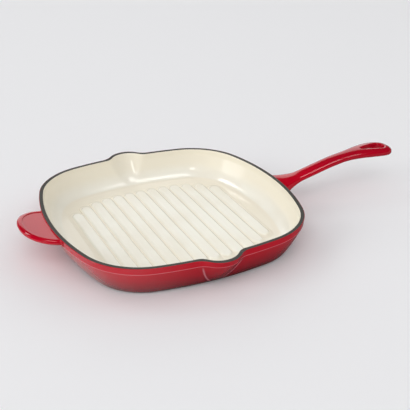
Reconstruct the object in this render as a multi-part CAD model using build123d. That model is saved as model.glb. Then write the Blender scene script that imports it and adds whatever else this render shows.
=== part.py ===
"""Square ribbed grill pan: one iron casting with a long handle, a helper handle and two pouring
spouts, under fired coats of glass.

Frame: millimetres, +Z up, the origin at the centre of the flat underside, +X along the long handle.
Ribs run along Y and the two spouts stand at the middle of the Y sides.
Sizes are those of the finished pan over its glass. The iron lies one coat thickness below them.
"""
from build123d import *
import math
import os

# Pan body
half_width = 130.0  # rim, from the centre to the middle of any side
corner_radius = 70.0  # rim corner
handle_side_radius = 249.0  # bulge of the two sides that carry handles
spout_side_radius = 346.0  # bulge of the two sides that carry spouts
rim_height = 36.5
rim_width = 4.4  # flat top of the wall
lip_height = 6.8  # slightly prouder band under the rim
lip_step = 0.6  # the band stands this far out from the wall under it
lip_draft = 0.5  # the band leans in this far from top to bottom
base_inset = 17.3  # the wall draws in this far from rim to base
wall_bow_share = 0.25  # 0 is a straight taper, 1 a parabola
wall_thickness = 3.9
foot_radius = 2.4  # rounding between wall and underside
coat = 0.5  # thickness of the fired glass
overrun = 2.0  # cutters run this far past what they cut
rounding_degrees = (0, 24, 46, 68, 90)  # steps round a rounding, from its flat to its wall
even_shares = (0.0, 1 / 3, 2 / 3, 1.0)

# Cooking floor
floor_height = 6.7  # top of the floor between the ribs
floor_fillet = 11.0  # rounding between floor and wall
rib_pitch = 13.76
rib_half_width = 5.35
rib_height = 2.6
rib_shoulder = 1.9  # rounding along the top of a rib
rib_draft = 8.0  # degrees, lean of a rib's sides
rib_side_margin = 5.0  # floor edge to the outermost line that a rib may reach, along X
rib_end_margin = 16.0  # floor edge to the rib ends at the middle, along Y
rib_field_power = 3.0  # the rib ends lie on a superellipse

# Pouring spouts
spout_half_width = 31.0
spout_reach = 12.4
spout_bottom = 1.0  # height where a spout grows out of the wall
spout_nose_share = 0.53  # rounding of the nose, as a share of nose and flank radius together
groove_half_width = 26.0
groove_reach = 11.5
groove_bottom = 7.4  # height where the groove inside a spout begins
groove_nose_share = 0.61
spout_width_power = 0.44  # how fast a spout widens with height
spout_height_shares = (0.015, 0.06, 0.14, 0.26, 0.42, 0.6, 0.8, 1.0)

# Long handle, a bar that rises from the wall and bends over at its end
handle_length = 152.8  # from the side of the rim to the tip
handle_root_height = 25.0  # centre line where it leaves the wall
handle_rise = 14.1  # degrees
handle_straight = 60.7  # straight run from the wall
handle_bend_radius = 232.0
handle_root_half_width = 29.0
handle_neck_half_width = 9.4
handle_end_half_width = 16.2
handle_flare = 32.0  # length of the flare at the root
handle_root_thickness = 18.0
handle_neck_thickness = 7.6
handle_end_thickness = 10.0
handle_neck_from = 84.0  # from the side of the rim to where the bar starts to widen
handle_widest_at = 133.0
handle_end_round = 18.6  # length of the rounded end
handle_inner_run = 14.0  # the bar starts this far inside the side of the rim
handle_section_power = 2.5  # 2 is an ellipse, more is squarer
handle_round_power = 2.2
section_points = 16
handle_body_shares = (0.0, 0.03, 0.07, 0.12, 0.18, 0.25, 0.33, 0.42, 0.52, 0.62, 0.72, 0.81, 0.9, 1.0)
handle_end_shares = (0.3, 0.55, 0.75, 0.88, 0.96, 0.995)

# Hanging hole, a teardrop with its point towards the pan
hole_end_gap = 9.6  # from the tip of the handle to the round end of the hole
hole_length = 30.0
hole_radius = 6.9
hole_point_radius = 1.4
hole_flare = 2.0  # how far the mouths of the hole open out
hole_flare_shares = ((-1.5, 2.4), (-0.5, 1.0), (-0.25, 0.15), (0.25, 0.15), (0.5, 1.0), (1.5, 2.4))

# Helper handle, a half-round tab with a thumb rest, which rises outwards
helper_reach = 29.6  # beyond the side of the rim
helper_half_width = 37.0
helper_centre_inset = 4.2  # centre of its outline, inside the side of the rim
helper_rise = 11.9  # degrees
helper_drop = 0.3  # its top lies this far under the rim where it leaves the wall
helper_thickness = 5.0
helper_lip_width = 5.0
helper_rest_depth = 0.9
helper_edge_radius = 2.2
helper_power = 2.2
helper_points = 32


def corner_centre():
    """Centre of the first corner arc, which touches both side arcs from inside."""
    x_centre = half_width - handle_side_radius
    y_centre = half_width - spout_side_radius
    from_x = handle_side_radius - corner_radius
    from_y = spout_side_radius - corner_radius
    span = math.hypot(x_centre, y_centre)
    along = (span**2 + from_x**2 - from_y**2) / (2 * span)
    across = math.sqrt(from_x**2 - along**2)
    x = x_centre - x_centre / span * along - y_centre / span * across
    y = y_centre / span * along - x_centre / span * across
    return x, y


def pan_outline(inset, height):
    """Closed outline of eight tangent arcs at a height, drawn in from the rim outline by inset."""
    x_centre = half_width - handle_side_radius
    y_centre = half_width - spout_side_radius
    corner_x, corner_y = corner_centre()
    x_turn = math.degrees(math.atan2(corner_y, corner_x - x_centre))
    y_turn = math.degrees(math.atan2(corner_x, corner_y - y_centre))
    corner_turn = 90 - x_turn - y_turn
    corners = [(corner_x, corner_y), (-corner_x, corner_y), (-corner_x, -corner_y), (corner_x, -corner_y)]
    arcs = []
    for side in range(4):
        on_x = side % 2 == 0
        start = side * 90
        half_turn = x_turn if on_x else y_turn
        radius = handle_side_radius if on_x else spout_side_radius
        offset = x_centre if on_x else y_centre
        toward = (math.cos(math.radians(start)), math.sin(math.radians(start)))
        side_centre = (toward[0] * offset, toward[1] * offset, height)
        arcs.append(CenterArc(side_centre, radius - inset, start - half_turn, 2 * half_turn))
        corner = (*corners[side], height)
        arcs.append(CenterArc(corner, corner_radius - inset, start + half_turn, corner_turn))
    return Wire(arcs)


def lip_bottom():
    """Height of the lower edge of the band under the rim."""
    return rim_height - lip_height


def wall_inset(height):
    """How far the outer face of the wall under the band stands in from the rim outline."""
    top_inset = lip_draft + lip_step
    fall = 1 - min(height / lip_bottom(), 1)
    bowed = fall * (1 - wall_bow_share) + fall**2 * wall_bow_share
    return top_inset + (base_inset - top_inset) * bowed


def outer_inset(height):
    """How far the outer face, band included, stands in from the rim outline."""
    if height < lip_bottom():
        return wall_inset(height)
    return lip_draft * (rim_height - height) / lip_height


def inner_inset(height):
    """How far the inner face of the wall stands in from the rim outline, above the floor fillet."""
    if height < lip_bottom():
        return wall_inset(height) + wall_thickness
    low = wall_inset(lip_bottom()) + wall_thickness
    share = min((height - lip_bottom()) / lip_height, 1)
    return low + (rim_width - low) * share


def floor_draw_in(height):
    """How far the fillet between floor and wall draws the inner face in at a height."""
    down = max(floor_height + floor_fillet - height, 0)
    return floor_fillet - math.sqrt(floor_fillet**2 - down**2)


def rounding_steps(radius):
    """Height above the flat and draw-in for each step of a rounding between a flat and a wall."""
    turns = [math.radians(degrees) for degrees in rounding_degrees]
    return [(radius * (1 - math.cos(turn)), radius * (1 - math.sin(turn))) for turn in turns]


def even_steps(low, high):
    """Even heights from low to high."""
    return [low + (high - low) * share for share in even_shares]


def outer_block(shrink):
    """Solid inside the outer face of the pan, without handles, drawn in by shrink."""
    foot = [pan_outline(wall_inset(up) + draw_in + shrink, up) for up, draw_in in rounding_steps(foot_radius)]
    wall = [pan_outline(wall_inset(up) + shrink, up) for up in even_steps(foot_radius, lip_bottom())]
    lip = [pan_outline(lip_draft + shrink, lip_bottom()), pan_outline(shrink, rim_height)]
    block = Solid.make_loft(foot) + Solid.make_loft(wall) + Solid.make_loft(lip)
    return block + spout_pair(shrink, False)


def cavity(grow):
    """Space inside the pan, open at the top, with the ribs left standing, grown by grow."""
    fillet_top = floor_height + floor_fillet
    fillet = []
    for up, draw_in in rounding_steps(floor_fillet + grow):
        height = floor_height - grow + up
        fillet.append(pan_outline(inner_inset(height) + draw_in - grow, height))
    wall = [pan_outline(inner_inset(up) - grow, up) for up in even_steps(fillet_top, lip_bottom())]
    mouth = [pan_outline(inner_inset(up) - grow, up) for up in (lip_bottom(), rim_height)]
    over = [pan_outline(rim_width - grow, up) for up in (rim_height, rim_height + overrun)]
    space = Solid.make_loft(fillet) + Solid.make_loft(wall) + Solid.make_loft(mouth) + Solid.make_loft(over)
    return space + spout_pair(-grow, True) - ribs(grow)


def floor_half_width():
    """Half the flat of the cooking floor, from the centre to the foot of its fillet."""
    return half_width - inner_inset(floor_height) - floor_fillet


def ribs(shrink):
    """The cooking ribs: drafted bars with round ends and shoulders, their ends on a superellipse."""
    field_x = floor_half_width() - rib_side_margin
    field_y = floor_half_width() - rib_end_margin
    count = int((field_x - rib_half_width) / rib_pitch)
    foot = floor_height - overrun
    top = floor_height + rib_height - shrink
    spread = (top - foot) * math.tan(math.radians(rib_draft))
    bars = []
    for index in range(-count, count + 1):
        x = index * rib_pitch
        half_length = field_y * (1 - abs(x / field_x) ** rib_field_power) ** (1 / rib_field_power)
        length = 2 * (half_length - shrink + spread)
        width = 2 * (rib_half_width - shrink + spread)
        bar = extrude(SlotOverall(length, width, rotation=90), top - foot, taper=rib_draft)
        bar = fillet(bar.faces().sort_by(Axis.Z)[-1].edges(), rib_shoulder)
        bars.append(Pos(x, 0, foot) * bar)
    return bars


def spout_section(share, shrink, inside):
    """Outline of a spout on the +Y side, a nose between two hollow flanks, at a share of its height."""
    bottom = groove_bottom if inside else spout_bottom
    height = bottom + (rim_height - bottom) * share
    half = (groove_half_width if inside else spout_half_width) * share**spout_width_power
    reach = (groove_reach if inside else spout_reach) * share
    nose_share = groove_nose_share if inside else spout_nose_share
    sag = half**2 / (2 * spout_side_radius)
    wall = inner_inset(height) + floor_draw_in(height) if inside else outer_inset(height)
    base = half_width - wall - sag - shrink
    rise = reach + sag
    both_radii = (rise**2 + half**2) / (2 * rise)
    nose = both_radii * nose_share
    turn = math.asin(half / both_radii)
    peak = base + rise
    nose_centre = peak - (nose - shrink)
    flank = both_radii - nose + shrink
    flank_centre = base + flank
    join = (math.sin(turn) * (nose - shrink), nose_centre + math.cos(turn) * (nose - shrink))
    half_turn = turn / 2
    middle = (half - math.sin(half_turn) * flank, flank_centre - math.cos(half_turn) * flank)
    back = base - wall_thickness / 2
    right = ThreePointArc((half, base), middle, join)
    left = ThreePointArc((-join[0], join[1]), (-middle[0], middle[1]), (-half, base))
    over = ThreePointArc(join, (0, peak), (-join[0], join[1]))
    edges = [right, over, left]
    edges.append(Line((-half, base), (-half, back)))
    edges.append(Line((-half, back), (half, back)))
    edges.append(Line((half, back), (half, base)))
    return Wire([Pos(0, 0, height) * edge for edge in edges])


def spout_pair(shrink, inside):
    """Both spouts as solids, either their outer form or the groove inside them."""
    sections = [spout_section(share, shrink, inside) for share in spout_height_shares]
    spout = Solid.make_loft(sections)
    if inside:
        top = Face(sections[-1])
        spout = spout + extrude(top, overrun, dir=(0, 0, 1))
    return [spout, Rot(0, 0, 180) * spout]


def smooth_step(share):
    """Ease from 0 to 1."""
    share = min(max(share, 0), 1)
    return share**2 * (3 - 2 * share)


def handle_height(run):
    """Height of the long handle's centre line at a run from the side of the rim."""
    rise = math.radians(handle_rise)
    if run <= handle_straight:
        return handle_root_height + math.tan(rise) * run
    bend_run = run - handle_straight - handle_bend_radius * math.sin(rise)
    bend_top = handle_root_height + math.tan(rise) * handle_straight
    bend_top += handle_bend_radius * (1 - math.cos(rise))
    return bend_top - handle_bend_radius + math.sqrt(handle_bend_radius**2 - bend_run**2)


def rounded_end(run, length, shrink):
    """Share of the full size that is left in the rounded end of the handle."""
    tip = handle_length - shrink
    into = min(max((run - (tip - length)) / length, 0), 1)
    return math.sqrt(1 - into**handle_round_power)


def handle_half_width(run, shrink):
    """Half width of the long handle at a run from the side of the rim."""
    widen = smooth_step((run - handle_neck_from) / (handle_widest_at - handle_neck_from))
    half = handle_neck_half_width + (handle_end_half_width - handle_neck_half_width) * widen
    into_flare = min(max(1 - run / handle_flare, 0), 1)
    half += (handle_root_half_width - handle_neck_half_width) * (1 - math.sqrt(1 - into_flare**2))
    return (half - shrink) * rounded_end(run, handle_end_round, shrink)


def handle_half_thickness(run, shrink):
    """Half thickness of the long handle at a run from the side of the rim."""
    widen = smooth_step((run - handle_neck_from) / (handle_widest_at - handle_neck_from))
    thickness = handle_neck_thickness + (handle_end_thickness - handle_neck_thickness) * widen
    thickness += (handle_root_thickness - handle_neck_thickness) * (1 - smooth_step(run / handle_flare))
    return (thickness / 2 - shrink) * rounded_end(run, handle_end_round / 2, shrink)


def handle_section(run, shrink):
    """Closed superellipse across the long handle."""
    half = handle_half_width(run, shrink)
    thick = handle_half_thickness(run, shrink)
    points = []
    for index in range(section_points):
        angle = 2 * math.pi * index / section_points
        across = math.copysign(abs(math.cos(angle)) ** (2 / handle_section_power), math.cos(angle))
        up = math.copysign(abs(math.sin(angle)) ** (2 / handle_section_power), math.sin(angle))
        points.append((half_width + run, half * across, handle_height(run) + thick * up))
    return Wire([Spline(*points, periodic=True)])


def handle_hole(grow):
    """Cutter for the hanging hole, opening out at both faces."""
    end = half_width + handle_length - hole_end_gap
    big_x = end - hole_radius
    small_x = end - hole_length + hole_point_radius
    lean = math.acos((hole_radius - hole_point_radius) / (big_x - small_x))
    middle = handle_height(big_x - half_width)
    sections = []
    for height_share, flare_share in hole_flare_shares:
        more = grow + hole_flare * flare_share
        big = hole_radius + more
        small = hole_point_radius + more
        big_join = (big_x - big * math.cos(lean), big * math.sin(lean))
        small_join = (small_x - small * math.cos(lean), small * math.sin(lean))
        edges = [
            ThreePointArc((big_join[0], -big_join[1]), (big_x + big, 0), big_join),
            Line(big_join, small_join),
            ThreePointArc(small_join, (small_x - small, 0), (small_join[0], -small_join[1])),
            Line((small_join[0], -small_join[1]), (big_join[0], -big_join[1])),
        ]
        height = middle + height_share * handle_end_thickness
        sections.append(Wire([Pos(0, 0, height) * edge for edge in edges]))
    return Solid.make_loft(sections)


def long_handle(shrink):
    """Long handle with its hanging hole, from inside the wall to the tip."""
    first = -handle_inner_run
    last = handle_length - shrink - handle_end_round
    runs = [first + (last - first) * share for share in handle_body_shares]
    runs += [last + handle_end_round * share for share in handle_end_shares]
    bar = Solid.make_loft([handle_section(run, shrink) for run in runs])
    return bar - handle_hole(shrink)


def helper_outline(inset, height):
    """Closed superellipse of the helper handle, drawn in by inset, round its own centre."""
    x_radius = helper_reach + helper_centre_inset - inset
    y_radius = helper_half_width - inset
    points = []
    for index in range(helper_points):
        angle = 2 * math.pi * index / helper_points
        x = math.copysign(abs(math.cos(angle)) ** (2 / helper_power), math.cos(angle))
        y = math.copysign(abs(math.sin(angle)) ** (2 / helper_power), math.sin(angle))
        points.append((x_radius * x, y_radius * y, height))
    return Wire([Spline(*points, periodic=True)])


def helper_handle(shrink):
    """Helper handle with its sunk thumb rest, turned up about the line where it leaves the wall."""
    bottom = shrink - helper_thickness
    low = []
    for up, draw_in in rounding_steps(helper_edge_radius - shrink):
        low.append(helper_outline(draw_in + shrink, bottom + up))
    high = []
    for up, draw_in in reversed(rounding_steps(helper_edge_radius - shrink)):
        high.append(helper_outline(draw_in + shrink, -shrink - up))
    tab = Solid.make_loft(low) + Solid.make_loft([low[-1], high[0]]) + Solid.make_loft(high)
    rest = extrude(Face(helper_outline(helper_lip_width - shrink, 0)), helper_rest_depth + overrun)
    tab = tab - Pos(0, 0, -helper_rest_depth - shrink) * rest
    leave = Pos(-half_width, 0, rim_height - helper_drop)
    return leave * Rot(0, helper_rise, 0) * Pos(helper_centre_inset, 0, 0) * tab


def layer(low, high):
    """Wide slab between two heights, for parting the pan in layers."""
    wide = 2 * (half_width + handle_length + helper_reach)
    return Pos(0, 0, low) * Box(wide, wide, high - low, align=(Align.CENTER, Align.CENTER, Align.MIN))


def build_parts():
    """Every node of the pan by name."""
    outer = outer_block(0)
    iron_block = outer_block(coat)
    space = cavity(0)
    iron_space = cavity(coat)
    handle = long_handle(0)
    iron_handle = long_handle(coat)
    helper = helper_handle(0)
    iron_helper = helper_handle(coat)
    rim_layer = layer(rim_height - coat, rim_height)
    base_layer = layer(0, coat)
    wall_layer = layer(coat, rim_height - coat)
    rim = (outer & rim_layer) - space
    casting = (iron_block & wall_layer) + iron_handle + iron_helper - iron_space
    return {
        "iron_casting": casting,
        "ground_coat_rim": rim,
        "ground_coat_base": outer & base_layer,
        "cream_enamel_interior": (iron_space - space) & wall_layer,
        "red_enamel_wall": (outer & wall_layer) - iron_block - handle - helper,
        "red_enamel_long_handle": handle - iron_handle - iron_block,
        "red_enamel_helper_handle": helper - iron_helper - iron_block - rim,
    }


def main():
    """Write one file per node."""
    os.makedirs("parts", exist_ok=True)
    for name, shape in build_parts().items():
        shape.label = name
        export_step(shape, f"parts/{name}.step")
        print(name, "solids", len(shape.solids()), "volume", round(shape.volume))


main()
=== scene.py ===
"""Square ribbed grill pan of cast iron under fired enamel, dressed for its picture.

Frame: metres, +Z up, the origin at the centre of the underside, +X along the long handle, ribs along Y.
Sizes are written in millimetres and turned to metres where a mesh is made.
"""
import logging
import math
from dataclasses import dataclass, field
from enum import Enum
from typing import Any, Callable, ClassVar, Sequence

import bmesh
import bpy
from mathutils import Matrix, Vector


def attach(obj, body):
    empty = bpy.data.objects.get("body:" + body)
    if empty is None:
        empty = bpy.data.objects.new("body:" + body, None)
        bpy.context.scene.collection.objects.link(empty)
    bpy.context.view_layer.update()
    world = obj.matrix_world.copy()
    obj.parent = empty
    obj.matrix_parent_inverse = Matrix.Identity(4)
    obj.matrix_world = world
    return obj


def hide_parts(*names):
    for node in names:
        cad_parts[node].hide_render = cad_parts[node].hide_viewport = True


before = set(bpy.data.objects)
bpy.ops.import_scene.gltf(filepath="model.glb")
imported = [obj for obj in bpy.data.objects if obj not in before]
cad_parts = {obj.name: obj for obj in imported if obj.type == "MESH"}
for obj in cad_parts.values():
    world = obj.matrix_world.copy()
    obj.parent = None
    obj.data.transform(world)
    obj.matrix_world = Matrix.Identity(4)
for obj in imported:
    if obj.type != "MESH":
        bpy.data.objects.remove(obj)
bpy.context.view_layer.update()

MM = 0.001
TINY = 0.0001
QUARTER = math.pi / 2.0
log = logging.getLogger("grill_pan")

Flat = tuple[float, float]
Solid = tuple[float, float, float]
Row = list[Solid]
Socket = bpy.types.NodeSocket


class Slot(Enum):
    """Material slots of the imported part."""

    IRON = "iron"
    GROUND = "ground_coat"
    CREAM = "cream_enamel"
    RED = "red_enamel"


class Face(Enum):
    """The two faces of the pan's wall."""

    OUTSIDE = "outside"
    INSIDE = "inside"


def clamp(value: float, low: float = 0.0, high: float = 1.0) -> float:
    """Hold a value between two limits."""
    return min(max(value, low), high)


def ease(share: float) -> float:
    """Ease from 0 to 1 with level ends."""
    share = clamp(share)
    return share * share * (3.0 - 2.0 * share)


def steps(low: float, high: float, count: int) -> list[float]:
    """Even values from low to high, both ends included.

    Args:
        low: First value.
        high: Last value.
        count: Number of intervals.

    Returns:
        count + 1 values.
    """
    return [low + (high - low) * index / count for index in range(count + 1)]


def power(value: float, exponent: float) -> float:
    """Raise a signed value to a power and keep its sign."""
    return math.copysign(abs(value) ** exponent, value)


def drawn_in(ring: Row, shares: Sequence[float], level: float) -> list[Row]:
    """Copies of a ring drawn in towards the middle, at one level."""
    return [[(x * share, y * share, level) for x, y, _ in ring] for share in shares]


def linear(colour: str) -> tuple[float, float, float, float]:
    """Turn an sRGB hex colour into linear RGBA.

    Args:
        colour: Hex text such as "#C41420".

    Returns:
        Linear red, green, blue and an alpha of 1.
    """
    parts = [int(colour[at:at + 2], 16) / 255.0 for at in (1, 3, 5)]
    values = [part / 12.92 if part <= 0.04045 else ((part + 0.055) / 1.055) ** 2.4 for part in parts]
    return (values[0], values[1], values[2], 1.0)


def add_node(
    tree: bpy.types.NodeTree,
    kind: str,
    settings: dict[str, Any] | None = None,
    inputs: dict[str | int, Any] | None = None,
) -> bpy.types.Node:
    """Add one node with its settings, and link or set its inputs.

    Args:
        tree: Tree that takes the node.
        kind: Blender's type name of the node.
        settings: Properties of the node by name.
        inputs: Sockets by name or index. A socket as value is linked, anything else is set.

    Returns:
        The new node.
    """
    node = tree.nodes.new(kind)
    for name, value in (settings or {}).items():
        setattr(node, name, value)
    for name, value in (inputs or {}).items():
        if isinstance(value, bpy.types.NodeSocket):
            tree.links.new(value, node.inputs[name])
        else:
            node.inputs[name].default_value = value
    return node


class MeshRows:
    """Rows of points that are joined into one mesh."""

    def __init__(self) -> None:
        """Start an empty mesh."""
        self.points: list[Solid] = []
        self.faces: list[tuple[int, ...]] = []

    def row(self, points: Sequence[Solid]) -> list[int]:
        """Add a row of points given in millimetres.

        Args:
            points: The row.

        Returns:
            The indices of its points.
        """
        first = len(self.points)
        self.points.extend(points)
        return list(range(first, first + len(points)))

    def bridge(self, one: Sequence[int], other: Sequence[int], closed: bool = True) -> None:
        """Join two rows of the same length with four-sided faces.

        Args:
            one: Indices of the first row.
            other: Indices of the second row.
            closed: Whether the rows run round and meet themselves.
        """
        count = len(one)
        for index in range(count if closed else count - 1):
            after = (index + 1) % count
            self.faces.append((one[index], one[after], other[after], other[index]))

    def join(self, rows: Sequence[Sequence[int]], closed: bool = True) -> None:
        """Join each row of indices to the next one."""
        for one, other in zip(rows, rows[1:]):
            self.bridge(one, other, closed)

    def loft(self, rings: Sequence[Sequence[Solid]], closed: bool = False) -> list[list[int]]:
        """Add rings of points and join each to the next.

        Args:
            rings: The rings, all of one length.
            closed: Whether the last ring joins the first.

        Returns:
            The indices of each ring's points.
        """
        rows = [self.row(ring) for ring in rings]
        self.join(rows + rows[:1] if closed else rows)
        return rows

    def fan(self, ring: Sequence[int], apex: Solid) -> None:
        """Close a ring with a fan of triangles to one point.

        Args:
            ring: Indices of the ring.
            apex: The point, in millimetres.
        """
        tip = self.row([apex])[0]
        for index in range(len(ring)):
            self.faces.append((ring[index], ring[(index + 1) % len(ring)], tip))

    def build(self, name: str, crease: float = 40.0) -> bpy.types.Object:
        """Make the object, merged, smooth and with its faces pointing outwards.

        Args:
            name: Name of the piece.
            crease: Angle in degrees above which an edge stays sharp.

        Returns:
            The new object in the scene.
        """
        mesh = bpy.data.meshes.new(name)
        mesh.from_pydata([(x * MM, y * MM, z * MM) for x, y, z in self.points], [], self.faces)
        work = bmesh.new()
        work.from_mesh(mesh)
        bmesh.ops.remove_doubles(work, verts=work.verts, dist=0.00001)
        bmesh.ops.dissolve_degenerate(work, edges=work.edges, dist=0.000005)
        bmesh.ops.recalc_face_normals(work, faces=work.faces)
        work.to_mesh(mesh)
        work.free()
        finish_mesh(mesh, crease)
        piece = bpy.data.objects.new(name, mesh)
        bpy.context.scene.collection.objects.link(piece)
        return piece


def finish_mesh(mesh: bpy.types.Mesh, crease: float) -> None:
    """Shade a mesh smooth and keep the edges above an angle sharp.

    Args:
        mesh: The mesh.
        crease: The angle in degrees.
    """
    mesh.polygons.foreach_set("use_smooth", [True] * len(mesh.polygons))
    mesh.set_sharp_from_angle(angle=math.radians(crease))
    mesh.update()


class Nodes:
    """Short ways to add the nodes that the finishes, the ribs and the studio share."""

    def __init__(self, tree: bpy.types.NodeTree) -> None:
        """Work in one tree."""
        self.tree = tree

    def calc(self, operation: str, *values: Any) -> Socket:
        """Add a Math node and give its result."""
        return add_node(self.tree, "ShaderNodeMath", {"operation": operation}, dict(enumerate(values))).outputs[0]

    def parts(self, vector: Socket) -> bpy.types.bpy_prop_collection:
        """Split a vector into X, Y and Z."""
        return add_node(self.tree, "ShaderNodeSeparateXYZ", inputs={0: vector}).outputs

    def share(
        self, value: Socket, low: Any, high: Any, to_low: Any = 0.0, to_high: Any = 1.0, smooth: bool = True
    ) -> Socket:
        """Map one range onto another and hold it there.

        Args:
            value: What is mapped.
            low: Start of its range.
            high: End of its range.
            to_low: Result at the start.
            to_high: Result at the end.
            smooth: Whether it leaves and arrives level.

        Returns:
            The result.
        """
        kind = "SMOOTHSTEP" if smooth else "LINEAR"
        return add_node(self.tree, "ShaderNodeMapRange", {"interpolation_type": kind}, {
            "Value": value, "From Min": low, "From Max": high, "To Min": to_low, "To Max": to_high,
        }).outputs["Result"]

    def blend(self, factor: Socket, one: Any, other: Any) -> Socket:
        """Blend two numbers."""
        return add_node(self.tree, "ShaderNodeMix", {"data_type": "FLOAT"}, {
            "Factor": factor, "A": one, "B": other}).outputs["Result"]

    def mix(self, factor: Socket, one: Socket | str, other: Socket | str) -> Socket:
        """Mix two colours, each a socket or hex text.

        Args:
            factor: Share of the second colour.
            one: First colour.
            other: Second colour.

        Returns:
            The mixed colour.
        """
        one, other = (linear(colour) if isinstance(colour, str) else colour for colour in (one, other))
        return add_node(self.tree, "ShaderNodeMix", {"data_type": "RGBA"}, {
            "Factor": factor, "A": one, "B": other}).outputs["Result"]

    def noise(self, place: Socket, size_mm: float, detail: float, roughness: float = 0.5) -> Socket:
        """Noise whose features are about as large as size_mm.

        Args:
            place: Coordinates in metres.
            size_mm: Size of a feature.
            detail: Number of finer layers.
            roughness: Strength of each finer layer.

        Returns:
            A value from 0 to 1.
        """
        return add_node(self.tree, "ShaderNodeTexNoise", inputs={
            "Vector": place, "Scale": 1.0 / (size_mm * MM), "Detail": detail, "Roughness": roughness,
        }).outputs["Fac"]

    def ramp(self, share: Socket, places: Sequence[float], colours: Sequence[str]) -> Socket:
        """Colour ramp with one hex colour for each place from 0 to 1, rising.

        Args:
            share: Value that picks the colour.
            places: Place of each colour.
            colours: The colours.

        Returns:
            The colour at the value.
        """
        ramp = add_node(self.tree, "ShaderNodeValToRGB", inputs={"Fac": share})
        stops = ramp.color_ramp.elements
        while len(stops) < len(places):
            stops.new(1.0)
        for stop, place, colour in zip(stops, places, colours):
            stop.position = place
            stop.color = linear(colour)
        return ramp.outputs["Color"]


@dataclass(frozen=True)
class Finish:
    """A real material and its finish: paint gives its colour and fine relief, gloss what is the same all over."""

    name: str
    relief_mm: float  # depth of the fine relief
    relief_strength: ClassVar[float] = 1.0
    gloss: ClassVar[dict[str, float]] = {}

    def paint(self, nodes: Nodes, place: Socket) -> tuple[Socket, Socket]:
        """Give the colour and the fine relief at a place."""
        raise NotImplementedError

    def build(self) -> bpy.types.Material:
        """Make the material.

        Returns:
            The new material.
        """
        material = bpy.data.materials.new(self.name)
        material.use_nodes = True
        tree = material.node_tree
        tree.nodes.clear()
        shader = add_node(tree, "ShaderNodeBsdfPrincipled")
        add_node(tree, "ShaderNodeOutputMaterial", inputs={"Surface": shader.outputs["BSDF"]})
        colour, relief = self.paint(Nodes(tree), add_node(tree, "ShaderNodeTexCoord").outputs["Object"])
        bump = add_node(tree, "ShaderNodeBump", inputs={
            "Height": relief, "Strength": self.relief_strength, "Distance": self.relief_mm * MM})
        tree.links.new(colour, shader.inputs["Base Color"])
        tree.links.new(bump.outputs["Normal"], shader.inputs["Normal"])
        for socket, value in self.gloss.items():
            shader.inputs[socket].default_value = value
        return material


@dataclass(frozen=True)
class RedEnamel(Finish):
    """Glossy transparent-red vitreous enamel sprayed over the dark ground coat.

    Vitreous enamel is glass: its mirror-like gloss comes from the fired surface, and the depth of its
    red from how thick it lies, so it is bright under the rim and burnt dark towards the base.
    """

    name: str = "red_vitreous_enamel_gloss"
    relief_mm: float = 0.012
    heights_mm: tuple[float, ...] = (1.5, 9.0, 20.0, 29.0, 37.0, 46.0)
    colours: tuple[str, ...] = ("#6A0010", "#95001A", "#B5001D", "#C2021F", "#C00321", "#B00420")
    # A pale line painted along the ledge under the band and along the ridge round each spout's nose: a painted
    # highlight for the light those edges catch.
    highlight_line_mm: float = 0.0  # height of a painted highlight line along a moulded edge, zero for none
    highlight_half_mm: float = 0.5
    highlight_colour: str = "#E0909A"
    highlight_share: float = 0.6
    ridge_share: float = 0.85
    mottle_mm: float = 26.0  # slow change of depth in the sprayed coat
    sway_mm: float = 3.0  # and how far it moves the colours up or down
    ripple_mm: float = 5.0  # orange peel of fired glass
    highlight_layer: ClassVar[str] = "painted_ridge_highlight"  # point layer that marks the ridges that get the painted highlight
    gloss: ClassVar[dict[str, float]] = {"Roughness": 0.09, "IOR": 1.52}

    def paint(self, nodes: Nodes, place: Socket) -> tuple[Socket, Socket]:
        """Red by height, with a painted highlight line along a moulded edge and on the spout ridges, and orange
        peel.

        Args:
            nodes: Node helper of the finish's own tree.
            place: Object coordinates.

        Returns:
            The colour, and the height of the fine relief.
        """
        up = nodes.parts(place)["Z"]
        sway = self.sway_mm * MM
        moved = nodes.calc("MULTIPLY_ADD", nodes.noise(place, self.mottle_mm, 2.0), 2.0 * sway, -sway)
        low, high = self.heights_mm[0], self.heights_mm[-1]
        share = nodes.share(nodes.calc("ADD", up, moved), low * MM, high * MM, smooth=False)
        colour = nodes.ramp(share, [(at - low) / (high - low) for at in self.heights_mm], self.colours)
        # Painted highlight: a pale line along the moulded edge and on the marked ridges.
        if self.highlight_line_mm > 0.0:
            away = nodes.calc("ABSOLUTE", nodes.calc("SUBTRACT", up, self.highlight_line_mm * MM))
            painted_highlight = nodes.share(away, 0.0, self.highlight_half_mm * MM, self.highlight_share, 0.0)
            ridge = add_node(nodes.tree, "ShaderNodeAttribute", {"attribute_name": self.highlight_layer}).outputs["Fac"]
            highlight_mask = nodes.calc("MAXIMUM", painted_highlight, nodes.calc("MULTIPLY", ridge, self.ridge_share))
            colour = nodes.mix(highlight_mask, colour, self.highlight_colour)
        return colour, nodes.noise(place, self.ripple_mm, 1.0)


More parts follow.
